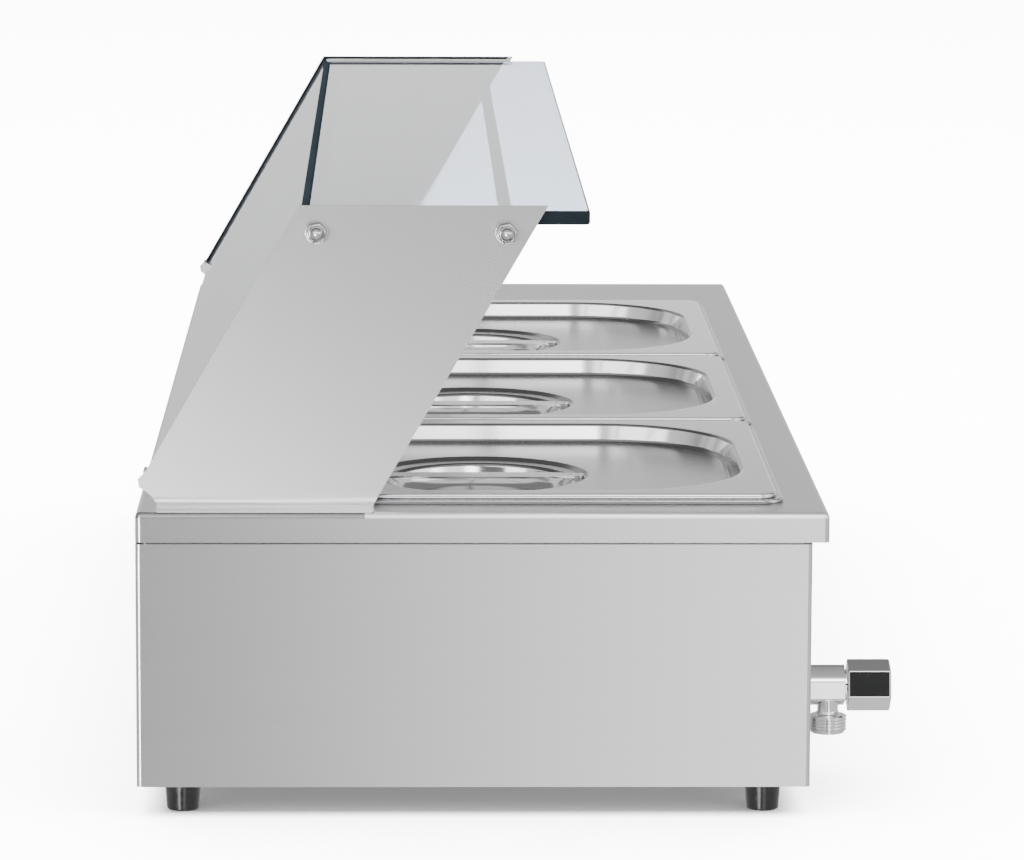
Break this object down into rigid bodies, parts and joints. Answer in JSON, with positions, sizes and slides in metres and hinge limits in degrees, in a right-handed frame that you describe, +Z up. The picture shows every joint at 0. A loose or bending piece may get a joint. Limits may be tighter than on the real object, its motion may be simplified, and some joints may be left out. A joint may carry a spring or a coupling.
{
  "type": "steam table unit",
  "caption": "Countertop steam table: heated water bath with lidded food pans, a leaning glass sneeze guard with a flat glass shelf, and a side drain valve.",
  "frame": {"origin": "middle of the overall footprint, on the surface the feet stand on", "axes": "+X towards the operator side with the valve and the knobs, +Y along the row of pans towards the controls, +Z up"},
  "size_m": [0.41, 0.964, 0.328],
  "materials": {
    "steel_brushed": "satin brushed stainless sheet",
    "panel_steel": "satin brushed stainless sheet, grain along the panel",
    "plain_steel": "mill-finish stainless",
    "pan_steel": "satin pressed stainless",
    "lid_steel": "bright polished pressed stainless",
    "valve_chrome": "bright chrome plate",
    "guard_glass": "clear float glass with blue-green ground edges",
    "foot_rubber": "black moulded rubber",
    "element_sheath": "heat-tinted tubular sheath",
    "brass_fittings": "turned brass",
    "copper_capillary": "drawn copper tube",
    "ceramic_bead": "glazed ceramic",
    "terminal_plastic": "moulded cream plastic",
    "black_plastic": "moulded black plastic",
    "control_plate_grey": "anodised trim plate",
    "rocker_red": "moulded red plastic",
    "lamp_amber": "moulded amber lens",
    "lamp_green": "moulded green lens",
    "wire_sleeve": "heat-resistant wire sleeve",
    "gasket_rubber": "flat rubber seal",
    "clear_silicone": "clear silicone"
  },
  "bodies": {
    "table": {"cabinet_shell": "steel_brushed", "base_panel": "plain_steel", "top_plate": "steel_brushed", "water_tank": "plain_steel", "pan_rail_1": "plain_steel", "pan_rail_2": "plain_steel", "compartment_divider": "plain_steel", "heating_element": "element_sheath", "element_bushings": "brass_fittings", "element_terminals": "ceramic_bead", "thermostat_body": "black_plastic", "thermostat_bulb": "copper_capillary", "bulb_gland": "brass_fittings", "overheat_cutout": "black_plastic", "switch_housing": "black_plastic", "power_lamp": "lamp_amber", "heat_lamp": "lamp_green", "control_plate": "control_plate_grey", "terminal_block": "terminal_plastic", "wiring_loom": "wire_sleeve", "cord_gland": "black_plastic", "gland_locknut": "black_plastic", "foot_1": "foot_rubber", "foot_2": "foot_rubber", "foot_3": "foot_rubber", "foot_4": "foot_rubber", "foot_screws": "plain_steel", "base_screws": "plain_steel", "drain_pipe": "plain_steel", "drain_locknut": "brass_fittings", "drain_gasket": "gasket_rubber", "valve_body": "valve_chrome", "side_panel_near": "panel_steel", "side_panel_far": "panel_steel", "shelf_glass": "guard_glass", "front_glass": "guard_glass", "tie_rod_front": "plain_steel", "tie_rod_rear": "plain_steel", "cap_nuts": "valve_chrome", "cap_washers": "valve_chrome", "rod_sleeves": "clear_silicone", "glass_seats": "plain_steel", "panel_studs": "plain_steel"},
    "pan_1_body": {"pan_1": "pan_steel"},
    "lid_1_body": {"lid_1": "lid_steel", "lid_handle_1": "lid_steel"},
    "pan_2_body": {"pan_2": "pan_steel"},
    "lid_2_body": {"lid_2": "lid_steel", "lid_handle_2": "lid_steel"},
    "pan_3_body": {"pan_3": "pan_steel"},
    "lid_3_body": {"lid_3": "lid_steel", "lid_handle_3": "lid_steel"},
    "valve_turn": {"valve_knob": "valve_chrome", "valve_stem": "brass_fittings"},
    "thermostat_turn": {"thermostat_knob": "black_plastic", "thermostat_shaft": "plain_steel"},
    "rocker_turn": {"switch_rocker": "rocker_red"}
  },
  "joints": [
    {"name": "pan_1_lift", "type": "slide", "parent": "table", "child": "pan_1_body", "axis": [0, 0, 1], "range_m": [0, 0.03]},
    {"name": "lid_1_lift", "type": "slide", "parent": "pan_1_body", "child": "lid_1_body", "axis": [0.5, 0, 0.866], "range_m": [0, 0.1]},
    {"name": "pan_2_lift", "type": "slide", "parent": "table", "child": "pan_2_body", "axis": [0, 0, 1], "range_m": [0, 0.03]},
    {"name": "lid_2_lift", "type": "slide", "parent": "pan_2_body", "child": "lid_2_body", "axis": [0.5, 0, 0.866], "range_m": [0, 0.1]},
    {"name": "pan_3_lift", "type": "slide", "parent": "table", "child": "pan_3_body", "axis": [0, 0, 1], "range_m": [0, 0.03]},
    {"name": "lid_3_lift", "type": "slide", "parent": "pan_3_body", "child": "lid_3_body", "axis": [0.5, 0, 0.866], "range_m": [0, 0.1]},
    {"name": "valve_knob_turn", "type": "hinge", "parent": "table", "child": "valve_turn", "pos_m": [0.181, -0.407, 0.0573], "axis": [1, 0, 0], "range_deg": [0, 90]},
    {"name": "thermostat_knob_turn", "type": "hinge", "parent": "table", "child": "thermostat_turn", "pos_m": [0.1568, 0.406, 0.104], "axis": [-1, 0, 0], "range_deg": [0, 270]},
    {"name": "switch_rocker_tilt", "type": "hinge", "parent": "table", "child": "rocker_turn", "pos_m": [0.1578, 0.388, 0.053], "axis": [0, -1, 0], "range_deg": [0, 18]}
  ]
}
